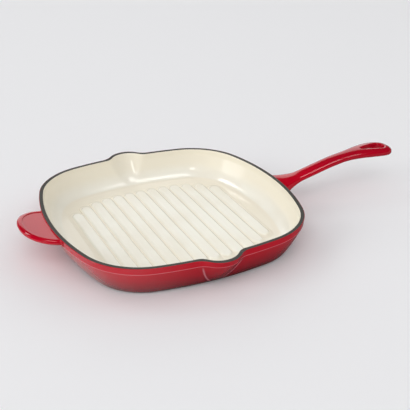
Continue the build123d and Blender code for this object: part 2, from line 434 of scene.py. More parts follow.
@dataclass(frozen=True)
class CreamEnamel(Finish):
    """Glossy opaque cream vitreous enamel, the cooking surface.

    Tin-white glass with a warm tint: it takes soft window reflections, hides the iron fully and shows
    a few dark pinholes and a slow warm mottle.
    """

    name: str = "cream_vitreous_enamel_gloss"
    relief_mm: float = 0.02
    colour: str = "#F9F6EA"
    warm_colour: str = "#F6F1E3"
    mottle_mm: float = 34.0
    mottle_shares: Flat = (0.35, 0.65)
    wall_shade_colour: str = "#F7F0DE"  # painted warm shade up the walls, in place of light bounced off the cream
    wall_shade_mm: Flat = (10.0, 24.0)
    valley_shade_colour: str = "#F7F0DF"  # and painted shade below the rib tops, in the valleys between the ribs and on the floor
    valley_shade_mm: Flat = (8.5, 7.4)
    pinhole_colour: str = "#6B5747"
    pinhole_cell_mm: float = 21.0
    pinhole_mm: float = 0.55
    pinhole_core: float = 0.6  # share of a pinhole that is darkest
    pinhole_share: float = 0.7
    ripple_mm: float = 7.0
    gloss: ClassVar[dict[str, float]] = {"Roughness": 0.14, "IOR": 1.52}

    def paint(self, nodes: Nodes, place: Socket) -> tuple[Socket, Socket]:
        """Mottled cream with painted warm shade up the walls and in the valleys, with pinholes and a slow ripple.

        Args:
            nodes: Node helper of the finish's own tree.
            place: Object coordinates.

        Returns:
            The colour, and the height of the fine relief.
        """
        glass = nodes.ramp(nodes.noise(place, self.mottle_mm, 2.0), self.mottle_shares,
                           (self.warm_colour, self.colour))
        up = nodes.parts(place)["Z"]
        # Painted shade: warmer cream up the walls and below the rib tops.
        for (low, high), colour in ((self.wall_shade_mm, self.wall_shade_colour), (self.valley_shade_mm, self.valley_shade_colour)):
            glass = nodes.mix(nodes.share(up, low * MM, high * MM), glass, colour)
        cells = add_node(nodes.tree, "ShaderNodeTexVoronoi", {"feature": "F1"}, {
            "Vector": place, "Scale": 1.0 / (self.pinhole_cell_mm * MM)})
        edge = self.pinhole_mm / self.pinhole_cell_mm / 2.0
        hole = nodes.share(cells.outputs["Distance"], edge * self.pinhole_core, edge, self.pinhole_share, 0.0,
                           smooth=False)
        return nodes.mix(hole, glass, self.pinhole_colour), nodes.noise(place, self.ripple_mm, 1.0)


@dataclass(frozen=True)
class GroundCoat(Finish):
    """Matte black-grey ground coat, the first fired layer, left bare on the rim and under the base.

    It is fired porous glass: a dry, slightly granular surface that scuffs lighter where it is touched.
    """

    name: str = "black_ground_coat_matte"
    relief_mm: float = 0.05
    colour: str = "#3D3C38"
    light_colour: str = "#53524D"
    worn_colour: str = "#77756F"
    grain_mm: float = 1.1
    grain_shares: Flat = (0.3, 0.7)
    worn_mm: float = 9.0
    worn_shares: Flat = (0.62, 0.72)
    worn_most: float = 0.55
    gloss: ClassVar[dict[str, float]] = {"Roughness": 0.66, "Specular IOR Level": 0.3}

    def paint(self, nodes: Nodes, place: Socket) -> tuple[Socket, Socket]:
        """Two greys by the grain, with scuffed spots.

        Args:
            nodes: Node helper of the finish's own tree.
            place: Object coordinates.

        Returns:
            The colour, and the height of the fine relief.
        """
        grain = nodes.noise(place, self.grain_mm, 3.0)
        coat = nodes.ramp(grain, self.grain_shares, (self.colour, self.light_colour))
        worn = nodes.share(nodes.noise(place, self.worn_mm, 3.0, 0.6), *self.worn_shares, 0.0, self.worn_most,
                           smooth=False)
        return nodes.mix(worn, coat, self.worn_colour), grain


@dataclass(frozen=True)
class CastIron(Finish):
    """Sand-cast grey iron, hidden under the coats: dark, rough and without a clear reflection."""

    name: str = "grey_cast_iron_as_cast"
    relief_mm: float = 0.06
    colour: str = "#2E2D2C"
    light_colour: str = "#3D3B39"
    grain_mm: float = 0.8
    grain_shares: Flat = (0.3, 0.7)
    gloss: ClassVar[dict[str, float]] = {"Roughness": 0.68, "Metallic": 0.6}

    def paint(self, nodes: Nodes, place: Socket) -> tuple[Socket, Socket]:
        """Two dark greys by the grain."""
        grain = nodes.noise(place, self.grain_mm, 4.0)
        return nodes.ramp(grain, self.grain_shares, (self.colour, self.light_colour)), grain


@dataclass(frozen=True)
class StudioPaper(Finish):
    """Matt white studio paper, which takes a soft shadow and shows about its own colour."""

    name: str = "white_studio_paper_matt"
    relief_mm: float = 0.05
    colour: str = "#E6E5E8"
    seen_colour: str = "#F3F3F5"  # what the camera sees of it directly
    lit_colour: str = "#FFFFFF"  # what gloss reflects of it on the bright side
    shade_colour: str = "#8A8689"  # what gloss reflects of it under the front wall
    shade_mm: Flat = (-110.0, 10.0)  # along X, where the shade begins and where it is full
    room_colour: str = "#B8B8BA"  # the dim room that gloss reflects in front of the paper
    room_mm: Flat = (-330.0, -264.0)  # along Y, from the room to the paper
    fibre_mm: float = 3.0
    relief_strength: ClassVar[float] = 0.3
    gloss: ClassVar[dict[str, float]] = {"Roughness": 0.85, "Specular IOR Level": 0.15}

    def paint(self, nodes: Nodes, place: Socket) -> tuple[Socket, Socket]:
        """One white for light, another for the camera and a third by place for reflections.

        Args:
            nodes: Node helper of the finish's own tree.
            place: Object coordinates.

        Returns:
            The colour, and the height of the fine relief.
        """
        spot = nodes.parts(place)
        shade = nodes.share(spot["X"], *(at * MM for at in self.shade_mm))
        beyond = nodes.share(spot["Y"], *(at * MM for at in self.room_mm), 1.0, 0.0, smooth=False)
        mirrored = nodes.mix(beyond, nodes.mix(shade, self.lit_colour, self.shade_colour), self.room_colour)
        ray = add_node(nodes.tree, "ShaderNodeLightPath").outputs
        seen = nodes.mix(ray["Is Camera Ray"], self.colour, self.seen_colour)
        return nodes.mix(ray["Is Glossy Ray"], seen, mirrored), nodes.noise(place, self.fibre_mm, 2.0)


@dataclass(frozen=True)
class Spoke:
    """A line across the rim outline: every inset moves a point along it towards its arc's centre."""

    centre: Flat
    radius: float
    turn: float

    def at(self, inset: float) -> Flat:
        """Place on the outline that is drawn in by inset."""
        reach = self.radius - inset
        return (self.centre[0] + reach * math.cos(self.turn), self.centre[1] + reach * math.sin(self.turn))


@dataclass(frozen=True)
class SpoutFace:
    """Sizes of one face of a pouring spout at the rim, and the height where it begins."""

    half_width: float
    reach: float
    bottom: float
    nose_share: float


@dataclass(frozen=True)
class Spout:
    """Pouring spout: a round nose between two hollow flanks that widens and reaches out with height."""

    outside: SpoutFace = SpoutFace(31.0, 12.4, 1.0, 0.53)
    inside: SpoutFace = SpoutFace(26.0, 11.5, 7.4, 0.61)
    width_power: float = 0.44
    ridge_share: float = 0.76  # place of the fine ridge round the nose, as a share of the half width
    ridge: float = 0.12
    ridge_spread: float = 0.75
    ridge_low: float = 1.2
    ridge_low_fade: float = 2.0
    ridge_high: float = 30.0
    ridge_high_fade: float = 8.0
    rim_height: float = 36.5
    side_radius: float = 346.0
    pan_half_width: float = 130.0

    def size_at(self, height: float, face: Face) -> tuple[SpoutFace, float]:
        """Sizes of one face, and the share of its height that a height has reached."""
        size = self.outside if face is Face.OUTSIDE else self.inside
        return size, clamp((height - size.bottom) / (self.rim_height - size.bottom))

    def half_at(self, height: float, face: Face) -> float:
        """Half width of one face of the spout at a height, zero below its bottom."""
        size, share = self.size_at(height, face)
        return size.half_width * share ** self.width_power

    def ridge_at(self, x: float, height: float) -> float:
        """Share of the ridge that stands at a place of the outside, from 0 to 1.

        Args:
            x: Distance from the middle of the side, either way.
            height: Height above the underside.

        Returns:
            The share.
        """
        off = (abs(x) - self.ridge_share * self.half_at(height, Face.OUTSIDE)) / self.ridge_spread
        low = ease((height - self.ridge_low) / self.ridge_low_fade)
        high = ease((self.ridge_high - height) / self.ridge_high_fade)
        return math.exp(-off * off) * (low * high)

    def edge(self, x: float, height: float, inset: float, face: Face) -> float | None:
        """How far out the spout stands at a place along its side.

        Args:
            x: Distance from the middle of the side.
            height: Height above the underside.
            inset: Draw-in of the wall at that height.
            face: Outside of the spout or the groove inside it.

        Returns:
            The distance from the pan's centre, or None beside the spout or below it.
        """
        size, share = self.size_at(height, face)
        half = self.half_at(height, face)
        x = abs(x)
        if share <= 0.0 or x >= half:
            return None
        sag = half * half / (2.0 * self.side_radius)
        base = self.pan_half_width - inset - sag
        rise = size.reach * share + sag
        both = (rise * rise + half * half) / (2.0 * rise)
        nose = both * size.nose_share
        turn = math.asin(clamp(half / both))
        flank = both - nose
        if x <= math.sin(turn) * nose:
            return base + rise - nose + math.sqrt(nose * nose - x * x)
        return base + flank - math.sqrt(max(flank * flank - (half - x) ** 2, 0.0))


@dataclass(frozen=True)
class PanForm:
    """Outline and wall of the pan, which every piece of the body follows."""

    half_width: float = 130.0
    corner_radius: float = 70.0
    handle_side_radius: float = 249.0
    spout_side_radius: float = 346.0
    rim_height: float = 36.5
    rim_width: float = 4.4
    lip_height: float = 6.8
    lip_step: float = 0.6
    lip_draft: float = 0.5
    band_draft: float = 0.85
    ledge: float = 0.35  # the wall stands this much prouder just under the band
    ledge_height: float = 0.7
    ledge_fade: float = 3.0
    base_inset: float = 17.3
    wall_bow: float = 0.25
    wall: float = 3.9
    foot_radius: float = 2.4
    floor_height: float = 6.7
    floor_fillet: float = 11.0
    coat: float = 0.45
    spout: Spout = field(default_factory=Spout)
    spout_step: float = 0.55  # spacing of the spokes across a spout
    spout_margin: float = 16.0  # beside a spout the spokes close up or spread this far along the side
    spout_least: float = 4.0  # least half width between the two spokes that follow a spout's edges

    @property
    def lip_bottom(self) -> float:
        """Height of the lower edge of the band under the rim."""
        return self.rim_height - self.lip_height

    def wall_inset(self, height: float) -> float:
        """Draw-in of the wall under the band.

        Args:
            height: Height above the underside.

        Returns:
            The draw-in from the rim's outline.
        """
        top = self.lip_draft + self.lip_step
        fall = 1.0 - min(height / self.lip_bottom, 1.0)
        return top + (self.base_inset - top) * (fall * (1.0 - self.wall_bow) + fall * fall * self.wall_bow)

    def band_inset(self, height: float) -> float:
        """Draw-in of the band under the rim."""
        return self.band_draft * clamp((self.rim_height - height) / self.lip_height)

    def outer_inset(self, height: float) -> float:
        """Draw-in of the outside, with the fine ledge under the band and the rounding at the foot.

        Args:
            height: Height above the underside.

        Returns:
            The draw-in from the rim's outline.
        """
        low = self.wall_inset(height)
        if height < self.foot_radius:
            down = self.foot_radius - height
            low += self.foot_radius - math.sqrt(max(self.foot_radius ** 2 - down ** 2, 0.0))
        low -= self.ledge * math.exp(-max(self.lip_bottom - height, 0.0) / self.ledge_fade)
        share = ease((height - self.lip_bottom) / self.ledge_height)
        return low + (self.band_inset(height) - low) * share

    def inner_inset(self, height: float) -> float:
        """Draw-in of the inside of the wall, with the rounding into the cooking floor.

        Args:
            height: Height above the underside.

        Returns:
            The draw-in from the rim's outline.
        """
        if height < self.lip_bottom:
            inset = self.wall_inset(height) + self.wall
        else:
            low = self.wall_inset(self.lip_bottom) + self.wall
            share = clamp((height - self.lip_bottom) / self.lip_height)
            inset = low + (self.rim_width - low) * share
        down = self.floor_height + self.floor_fillet - height
        if down > 0.0:
            inset += self.floor_fillet - math.sqrt(max(self.floor_fillet ** 2 - down ** 2, 0.0))
        return inset

    def corner(self) -> Flat:
        """Centre of the corner arc in the quarter where x and y are positive.

        Returns:
            The centre, where the arc meets both sides smoothly.
        """
        centre_x = self.half_width - self.handle_side_radius
        centre_y = self.half_width - self.spout_side_radius
        from_x = self.handle_side_radius - self.corner_radius
        from_y = self.spout_side_radius - self.corner_radius
        span = math.hypot(centre_x, centre_y)
        along = (span * span + from_x * from_x - from_y * from_y) / (2.0 * span)
        across = math.sqrt(from_x * from_x - along * along)
        x = centre_x - centre_x / span * along - centre_y / span * across
        y = centre_y / span * along - centre_x / span * across
        return x, y

    def spokes(self) -> list[Spoke]:
        """Every spoke of the outline, once round from the middle of the long handle's side.

        Returns:
            The spokes, closer together across the two spouts.
        """
        corner_x, corner_y = self.corner()
        centre_x = self.half_width - self.handle_side_radius
        centre_y = self.half_width - self.spout_side_radius
        x_turn = math.atan2(corner_y, corner_x - centre_x)
        y_turn = math.atan2(corner_x, corner_y - centre_y)
        spout_half = self.spout.outside.half_width
        spout_turn = math.asin(spout_half / self.spout_side_radius)
        beside_turn = math.asin((spout_half + self.spout_margin) / self.spout_side_radius)
        handle_side = [((centre_x, 0.0), self.handle_side_radius, turn) for turn in steps(0.0, x_turn, 24)]
        bend = [((corner_x, corner_y), self.corner_radius, turn)
                for turn in steps(x_turn, QUARTER - y_turn, 44)]
        side_turns = steps(y_turn, beside_turn, 8)[:-1] + steps(beside_turn, spout_turn, 16)
        flat = [((0.0, centre_y), self.spout_side_radius, QUARTER - turn) for turn in side_turns]
        count = int(spout_half / self.spout_step)
        nose = [((0.0, centre_y), self.spout_side_radius, QUARTER - turn)
                for turn in steps(spout_turn, 0.0, count)]
        quarter = handle_side[:-1] + bend[:-1] + flat[:-1] + nose
        spokes = [Spoke(*parts) for parts in quarter]
        spokes += [Spoke((-x, y), radius, math.pi - turn) for (x, y), radius, turn in reversed(quarter[:-1])]
        spokes += [Spoke((-x, -y), radius, math.pi + turn) for (x, y), radius, turn in quarter[1:]]
        spokes += [Spoke((x, -y), radius, -turn) for (x, y), radius, turn in reversed(quarter[1:-1])]
        return spokes

    def ring(self, height: float, inset: float, face: Face, level: float | None = None) -> Row:
        """Ring of points on one face of the wall, spouts included.

        Args:
            height: Height that gives the spouts their form.
            inset: Draw-in of the outline.
            face: Which face of the wall.
            level: Height at which the ring lies, if it isn't the same.

        Returns:
            One point for each spoke.
        """
        z = height if level is None else level
        drawn = 1.0 - inset / self.spout_side_radius
        full = self.spout.outside.half_width * drawn
        limit = full + self.spout_margin * drawn
        half = max(self.spout.half_at(height, face), self.spout_least)
        ring: Row = []
        for spoke in self.spokes():
            x, y = spoke.at(inset)
            if abs(x) < limit and abs(y) > self.half_width / 2.0:
                away = abs(x)
                away = away * half / full if away <= full else half + (away - full) * (limit - half) / (limit - full)
                out = self.spout.edge(away, height, inset, face)
                if out is not None and face is Face.OUTSIDE:
                    out += self.spout.ridge * self.spout.ridge_at(away, height)
                side = self.half_width - self.spout_side_radius
                side += math.sqrt((self.spout_side_radius - inset) ** 2 - away * away)
                x, y = math.copysign(away, x), math.copysign(max(out or 0.0, side), y)
            ring.append((x, y, z))
        return ring

    def wall_face(self, y: float, height: float) -> float:
        """Distance of the outside from the centre on a handle's side, at y and a height."""
        radius = self.handle_side_radius - self.outer_inset(height)
        return self.half_width - self.handle_side_radius + math.sqrt(radius * radius - y * y)


@dataclass
class PanBody:
    """The coats on the pan itself: red outside, cream inside, bare ground coat on rim and base."""

    form: PanForm
    finishes: dict[Slot, bpy.types.Material]
    wall_red: bpy.types.Material
    foot_heights: tuple[float, ...] = (0.2, 0.35, 0.5, 0.75, 1.0, 1.3, 1.6, 2.0)  # rows in the foot's rounding
    rim_gap: float = 0.04  # the red ends this far under the rim
    edge_round: float = 0.4  # rounding of the red at the rim
    under_rim: Flat = (1.4, 1.2)  # drop and draw-in of the row that the red hides under the rim
    cream_gap: float = 0.03  # the cream ends this far under the rim
    cream_round: float = 0.6
    cream_lip: float = 0.75  # the cream reaches this far out under the rim
    coat_share: float = 0.9  # depth of the cream's back on the floor, as a share of the coat
    base_line: float = 0.45  # the ground coat shows this far up the foot
    base_proud: float = 0.02  # and stands this far out of it
    base_lid: float = 0.3
    rim_profile: tuple[Flat, ...] = (  # share of the way from the outer edge to the inner one, and height
        (0.14, -0.55), (0.075, -0.4), (0.065, -0.2), (0.08, -0.07), (0.12, -0.015), (0.2, 0.0), (0.5, 0.0),
        (0.8, 0.0), (0.88, -0.01), (0.93, -0.05), (0.96, -0.15), (0.955, -0.35), (0.9, -0.55))

    def red_wall(self) -> bpy.types.Object:
        """Red coat on the outside of the wall, with its band, its spouts and its rounded upper edge.

        Returns:
            The new object.
        """
        form = self.form
        top = form.rim_height - self.rim_gap
        heights = [*self.foot_heights, *steps(form.foot_radius, form.lip_bottom - 1.0, 36)]
        heights += steps(form.lip_bottom - 0.8, form.lip_bottom + 1.2, 14)
        heights += steps(form.lip_bottom + 1.6, top - self.edge_round, 8)
        profile = [(height, form.outer_inset(height)) for height in heights]
        for angle in steps(0.0, QUARTER, 6)[1:]:
            height = top - self.edge_round * (1.0 - math.sin(angle))
            profile.append((height, form.band_inset(height) + self.edge_round * (1.0 - math.cos(angle))))
        drop, hidden = self.under_rim
        profile += [(top - 0.3, form.band_inset(top) + self.edge_round + 0.5), (form.rim_height - drop, hidden)]
        profile += [(height, form.outer_inset(height) + form.coat) for height in reversed(heights[:-3])]
        rows = MeshRows()
        rows.loft([form.ring(height, inset, Face.OUTSIDE) for height, inset in profile], closed=True)
        coat = dress(rows.build("red_coat_on_wall", 60.0), self.finishes, Slot.RED, "red_enamel_wall")
        coat.data.materials[0] = self.wall_red
        # Mark the ridge round each spout's nose, where the painted highlight line goes.
        painted_highlight = coat.data.attributes.new(RedEnamel.highlight_layer, "FLOAT", "POINT")
        for point, vertex in zip(painted_highlight.data, coat.data.vertices):
            x, y, z = (value / MM for value in vertex.co)
            if abs(y) > form.half_width / 2.0 and z > form.spout.ridge_low:
                point.value = form.spout.ridge_at(x, z)
        return coat

    def cream_inside(self) -> bpy.types.Object:
        """Cream coat on the inside: upper edge, wall with its two grooves, rounding and flat floor.

        Returns:
            The new object.
        """
        form = self.form
        top = form.rim_height - self.cream_gap
        lip_inset = form.rim_width - self.cream_lip
        profile = [(top - 0.35, lip_inset)]
        for angle in steps(QUARTER, 0.0, 5):
            height = top - self.cream_round * (1.0 - math.sin(angle))
            profile.append((height, form.inner_inset(height) - self.cream_round * (1.0 - math.cos(angle))))
        lip_rows = len(profile)
        heights = steps(top - 2.0 * self.cream_round, form.floor_height + form.floor_fillet, 24)
        for angle in steps(QUARTER, 0.0, 20)[1:]:
            heights.append(form.floor_height + form.floor_fillet * (1.0 - math.cos(angle)))
        heights[-1] = form.floor_height
        profile += [(height, form.inner_inset(height)) for height in heights]
        front = [form.ring(height, inset, Face.INSIDE) for height, inset in profile]
        floor = front[-1]
        rows = MeshRows()
        rings = rows.loft(front + drawn_in(floor, (0.93, 0.85, 0.7, 0.5, 0.25), form.floor_height))
        rows.fan(rings[-1], (0.0, 0.0, form.floor_height))
        depth = form.coat * self.coat_share
        back = [form.ring(top - 1.0, lip_inset, Face.INSIDE)]
        back += [form.ring(height, inset - form.coat, Face.INSIDE, height - depth)
                 for height, inset in profile[lip_rows:]]
        hidden = rows.loft(back + drawn_in(floor, (0.93, 0.5), form.floor_height - depth))
        rows.bridge(rings[0], hidden[0])
        rows.fan(hidden[-1], (0.0, 0.0, form.floor_height - depth))
        return dress(rows.build("cream_coat_inside"), self.finishes, Slot.CREAM, "cream_enamel_interior")

    def rim(self) -> bpy.types.Object:
        """Bare ground coat on the flat of the rim, its two edges softly rounded.

        Returns:
            The new object.
        """
        top = self.form.rim_height
        outer = self.form.ring(top, 0.0, Face.OUTSIDE)
        inner = self.form.ring(top, self.form.rim_width, Face.INSIDE)
        rings = [[(x + (in_x - x) * share, y + (in_y - y) * share, top + drop)
                  for (x, y, _), (in_x, in_y, _) in zip(outer, inner)] for share, drop in self.rim_profile]
        rows = MeshRows()
        rows.loft(rings, closed=True)
        return dress(rows.build("ground_coat_on_rim", 60.0), self.finishes, Slot.GROUND, "ground_coat_rim")

    def base(self) -> bpy.types.Object:
        """Bare ground coat under the base, showing as a thin dark line round the foot.

        Returns:
            The new object.
        """
        form = self.form
        inset = form.outer_inset(self.base_line)
        foot = [form.ring(height, form.outer_inset(height) - self.base_proud, Face.OUTSIDE)
                for height in (self.base_line, 0.3, 0.2, 0.1, 0.04, 0.0)]
        rows = MeshRows()
        rings = rows.loft(foot + drawn_in(foot[-1], (0.97, 0.9, 0.7, 0.4), 0.0))
        rows.fan(rings[-1], (0.0, 0.0, 0.0))
        lids = rows.loft(drawn_in(foot[-1], (0.4, 0.9), self.base_lid)
                         + [form.ring(self.base_line, inset + 0.4, Face.OUTSIDE, self.base_lid + 0.08)])
        rows.fan(lids[0], (0.0, 0.0, self.base_lid))
        rows.bridge(lids[-1], rings[0])
        return dress(rows.build("ground_coat_under_base", 60.0), self.finishes, Slot.GROUND, "ground_coat_base")


def dress(
    piece: bpy.types.Object,
    finishes: dict[Slot, bpy.types.Material],
    slot: Slot,
    node: str | None = None,
) -> bpy.types.Object:
    """Give a piece its finish, let it ride on the pan and stand for a CAD node.

    Args:
        piece: The finished mesh object.
        finishes: Materials by slot.
        slot: The piece's slot.
        node: CAD node that the piece stands for, if any.

    Returns:
        The same piece.
    """
    piece.data.materials.clear()
    piece.data.materials.append(finishes[slot])
    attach(piece, "root")
    if node is not None:
        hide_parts(node)
    return piece


@dataclass
class CookingRibs:
    """Raised cooking ribs, made by Geometry Nodes: one bar repeated at a pitch, ends on a superellipse."""

    form: PanForm
    finishes: dict[Slot, bpy.types.Material]
    pitch: float = 13.76
    half_width: float = 5.35
    top_half_width: float = 4.4  # flat of the top, from where the side eases down to the next rib
    foot_half_width: float = 11.0  # where an outer side reaches the floor
    height: float = 2.25
    valley_height: float = 0.75  # the round valley between two ribs lies this far above the floor
    side_margin: float = 5.0
    end_margin: float = 16.0
    field_power: float = 3.0
    end_stretch: float = 1.3  # a rib's end runs down this much more slowly than its sides
    end_reach: float = 1.2  # and reaches this much further
    sink: float = 0.03  # the foot of a rib lies this far under the floor
    depth: float = 0.4  # the ribs go this far into the floor
    held_share: float = 0.9995  # a rib's side stops just short of halfway to the next rib
    merge_mm: float = 0.004
    around: int = 64
    down: int = 64
    end_layer: ClassVar[str] = "rib_end"
    ball_layer: ClassVar[str] = "on_ball"

    def inputs(self) -> dict[str, float]:
        """Sizes that the node tree takes, in metres except for the count and the power.

        Returns:
            Values by the name of their input.
        """
        form = self.form
        flat = form.half_width - (form.wall_inset(form.floor_height) + form.wall) - form.floor_fillet
        field_x = flat - self.side_margin
        side = int((field_x - self.half_width) / self.pitch)
        return {
            "Count": 2 * side + 1,
            "Pitch": self.pitch * MM,
            "Field Half Width": field_x * MM,
            "Field Half Length": (flat - self.end_margin) * MM,
            "Field Power": self.field_power,
            "Rib Half Width": self.half_width * MM,
            "Top Half Width": self.top_half_width * MM,
            "Foot Distance": self.foot_half_width * MM,
            "End Stretch": self.end_stretch,
            "End Reach": self.end_reach * MM,
            "Top Height": (form.floor_height + self.height) * MM,
            "Valley Height": (form.floor_height + self.valley_height) * MM,
            "Floor Height": (form.floor_height - self.sink) * MM,
            "Depth": self.depth * MM,
        }

    def tree(self, material: bpy.types.Material) -> bpy.types.NodeTree:
        """Build the node tree.

        Args:
            material: Finish set on the ribs.

        Returns:
            The tree with its named inputs.
        """
        tree = bpy.data.node_groups.new("cooking_ribs", "GeometryNodeTree")
        face = tree.interface
        face.new_socket(name="Geometry", in_out="INPUT", socket_type="NodeSocketGeometry")
        for name in self.inputs():
            kind = "NodeSocketInt" if name == "Count" else "NodeSocketFloat"
            face.new_socket(name=name, in_out="INPUT", socket_type=kind)
        face.new_socket(name="Geometry", in_out="OUTPUT", socket_type="NodeSocketGeometry")
        given = add_node(tree, "NodeGroupInput").outputs
        nodes = Nodes(tree)
        calc = nodes.calc
        pitch, most_out = given["Pitch"], given["Foot Distance"]

        # One point for each rib, with the place where its end begins.
        first = calc("MULTIPLY", calc("MULTIPLY", calc("SUBTRACT", given["Count"], 1.0), pitch), -0.5)
        start = add_node(tree, "ShaderNodeCombineXYZ", inputs={"X": first})
        offset = add_node(tree, "ShaderNodeCombineXYZ", inputs={"X": pitch})
        line = add_node(tree, "GeometryNodeMeshLine", inputs={
            "Count": given["Count"], "Start Location": start.outputs[0], "Offset": offset.outputs[0]})
        spot = nodes.parts(add_node(tree, "GeometryNodeInputPosition").outputs[0])
        away = calc("DIVIDE", calc("ABSOLUTE", spot["X"]), given["Field Half Width"])
        inner = calc("SUBTRACT", 1.0, calc("POWER", away, given["Field Power"]))
        length = calc("MULTIPLY", calc("POWER", inner, calc("DIVIDE", 1.0, given["Field Power"])),
                      given["Field Half Length"])
        end = calc("SUBTRACT", calc("ADD", length, given["End Reach"]),
                   calc("MULTIPLY", given["Rib Half Width"], given["End Stretch"]))
        keep = add_node(tree, "GeometryNodeStoreNamedAttribute", {"data_type": "FLOAT", "domain": "POINT"}, {
            "Geometry": line.outputs["Mesh"], "Name": self.end_layer, "Value": end})

        # A ball on each point, which keeps its own places: it is pulled out into the rib below.
        ball = add_node(tree, "GeometryNodeMeshUVSphere", inputs={
            "Segments": self.around, "Rings": self.down, "Radius": 1.0})
        turned = add_node(tree, "GeometryNodeTransform", inputs={
            "Geometry": ball.outputs["Mesh"], "Rotation": (0.0, 0.0, math.pi / self.around)})
        named = add_node(tree, "GeometryNodeStoreNamedAttribute", {"data_type": "FLOAT_VECTOR", "domain": "POINT"}, {
            "Geometry": turned.outputs[0], "Name": self.ball_layer,
            "Value": add_node(tree, "GeometryNodeInputPosition").outputs[0]})
        spread = add_node(tree, "GeometryNodeInstanceOnPoints", inputs={
            "Points": keep.outputs[0], "Instance": named.outputs[0]})
        real = add_node(tree, "GeometryNodeRealizeInstances", inputs={0: spread.outputs[0]})

        # Height by the distance from the rib's line: flat top, side down to the valley, skirt down to the floor.
        ball_place = add_node(tree, "GeometryNodeInputNamedAttribute", {"data_type": "FLOAT_VECTOR"}, {
            "Name": self.ball_layer})
        ends = add_node(tree, "GeometryNodeInputNamedAttribute", {"data_type": "FLOAT"}, {"Name": self.end_layer})
        on_ball = nodes.parts(ball_place.outputs[0])
        x, y = on_ball["X"], on_ball["Y"]
        ring = calc("SQRT", calc("ADD", calc("MULTIPLY", x, x), calc("MULTIPLY", y, y)))
        safe = calc("MAXIMUM", ring, TINY)
        polar = calc("DIVIDE", calc("ARCTAN2", ring, calc("ABSOLUTE", on_ball["Z"])), QUARTER)
        out = calc("MULTIPLY", polar, most_out)
        half_pitch = calc("MULTIPLY", pitch, 0.5)
        side = nodes.share(out, given["Top Half Width"], half_pitch, given["Top Height"], given["Valley Height"])
        skirt = nodes.share(out, half_pitch, most_out, 0.0,
                            calc("SUBTRACT", given["Floor Height"], given["Valley Height"]))
        height = nodes.blend(calc("GREATER_THAN", on_ball["Z"], -TINY),
                             calc("SUBTRACT", given["Floor Height"], given["Depth"]), calc("ADD", side, skirt))

        # Place along the rib, and across it no further than halfway to a neighbour.
        along = calc("ADD", calc("MULTIPLY", calc("DIVIDE", y, safe), calc("MULTIPLY", out, given["End Stretch"])),
                     calc("MULTIPLY", calc("SIGN", y), ends.outputs[0]))
        now = nodes.parts(add_node(tree, "GeometryNodeInputPosition").outputs[0])
        rib_x = calc("SUBTRACT", now["X"], x)
        next_x = calc("ABSOLUTE", calc("ADD", rib_x, calc("MULTIPLY", calc("SIGN", x), pitch)))
        outermost = calc("GREATER_THAN", next_x, calc("ADD", calc("ABSOLUTE", first), half_pitch))
        room = nodes.blend(outermost, calc("MULTIPLY", half_pitch, self.held_share), most_out)
        away_x = calc("MULTIPLY", calc("DIVIDE", calc("ABSOLUTE", x), safe), out)
        across = calc("ADD", rib_x, calc("MULTIPLY", calc("SIGN", x), calc("MINIMUM", away_x, room)))
        target = add_node(tree, "ShaderNodeCombineXYZ", inputs={"X": across, "Y": along, "Z": height})
        moved = add_node(tree, "GeometryNodeSetPosition", inputs={
            "Geometry": real.outputs[0], "Position": target.outputs[0]})
        clean = add_node(tree, "GeometryNodeMergeByDistance", inputs={
            "Geometry": moved.outputs[0], "Distance": self.merge_mm * MM})
        closing = add_node(tree, "GeometryNodeRealizeInstances", inputs={0: clean.outputs[0]})
        finish = add_node(tree, "GeometryNodeSetMaterial", inputs={
            "Geometry": closing.outputs[0], "Material": material})
        add_node(tree, "NodeGroupOutput", inputs={"Geometry": finish.outputs[0]})
        return tree

    def build(self) -> bpy.types.Object:
        """Evaluate the tree and keep its result as a plain mesh.

        Returns:
            The new object.
        """
        tree = self.tree(self.finishes[Slot.CREAM])
        carrier = bpy.data.objects.new("ribs_carrier", bpy.data.meshes.new("ribs_carrier"))
        bpy.context.scene.collection.objects.link(carrier)
        modifier = carrier.modifiers.new("ribs", "NODES")
        modifier.node_group = tree
        sizes = self.inputs()
        for socket in tree.interface.items_tree:
            if socket.item_type == "SOCKET" and socket.in_out == "INPUT" and socket.name in sizes:
                modifier[socket.identifier] = sizes[socket.name]
        graph = bpy.context.evaluated_depsgraph_get()
        mesh = bpy.data.meshes.new_from_object(carrier.evaluated_get(graph))
        carrier.modifiers.remove(modifier)
        bpy.data.objects.remove(carrier)
        for name in (self.end_layer, self.ball_layer):
            layer = mesh.attributes.get(name)
            if layer is not None:
                mesh.attributes.remove(layer)
        mesh.name = "cream_cooking_ribs"
        finish_mesh(mesh, 60.0)
        piece = bpy.data.objects.new("cream_cooking_ribs", mesh)
        bpy.context.scene.collection.objects.link(piece)
        return dress(piece, self.finishes, Slot.CREAM)


